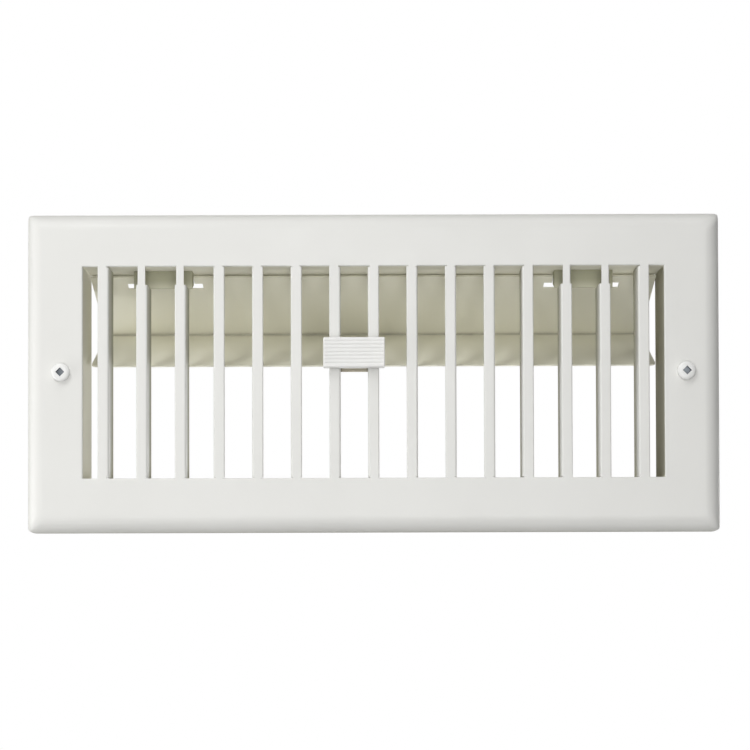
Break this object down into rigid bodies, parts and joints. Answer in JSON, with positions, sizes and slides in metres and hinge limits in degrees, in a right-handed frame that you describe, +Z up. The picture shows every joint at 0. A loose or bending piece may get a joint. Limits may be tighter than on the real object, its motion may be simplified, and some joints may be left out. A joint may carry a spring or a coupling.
{
  "type": "louvred wall register",
  "caption": "White louvred wall register: pressed steel face with slots folded back into fins, a duct collar and a folding damper moved by a knob that slides on the bars.",
  "frame": {"origin": "centre of the face on the wall plane, midway between the two screws", "axes": "+X to the right in the front view, +Y into the wall along the duct, +Z up"},
  "size_m": [0.295, 0.0621, 0.136],
  "materials": {
    "face_enamel": "satin white baked enamel",
    "collar_enamel": "satin off-white baked enamel",
    "damper_enamel": "satin off-white baked enamel",
    "knob_plastic": "moulded white plastic",
    "screw_enamel": "white painted head, bare zinc drive recess",
    "pin_steel": "bright drawn wire",
    "clip_steel": "zinc plated strip"
  },
  "bodies": {
    "frame": {"faceplate": "face_enamel", "top_rail": "collar_enamel", "bottom_rail": "collar_enamel", "left_end_plate": "collar_enamel", "right_end_plate": "collar_enamel", "hinge_bracket_left": "collar_enamel", "hinge_bracket_right": "collar_enamel", "hinge_pin_left": "pin_steel", "hinge_pin_right": "pin_steel", "wall_screw_left": "screw_enamel", "wall_screw_right": "screw_enamel"},
    "upper_leaf": {"upper_leaf": "damper_enamel"},
    "lower_leaf": {"lower_leaf": "damper_enamel"},
    "knob": {"knob_grip": "knob_plastic", "knob_clip": "clip_steel", "knob_pivot_pin": "pin_steel"}
  },
  "joints": [
    {"name": "damper_swing", "type": "hinge", "parent": "frame", "child": "upper_leaf", "pos_m": [0, 0.0085, 0.04135], "axis": [1, 0, 0], "range_deg": [-46, 12]},
    {"name": "leaf_fold", "type": "hinge", "parent": "upper_leaf", "child": "lower_leaf", "pos_m": [0, 0.04747, 0.02318], "axis": [1, 0, 0], "range_deg": [-24, 92]},
    {"name": "knob_pivot", "type": "hinge", "parent": "lower_leaf", "child": "knob", "pos_m": [-0.00818, 0.0085, 0.005], "axis": [1, 0, 0], "range_deg": [-46, 12]}
  ],
  "couplings": [
    {"joint": "leaf_fold", "follows": "damper_swing", "ratio": -2},
    {"joint": "knob_pivot", "follows": "damper_swing", "ratio": 1}
  ]
}
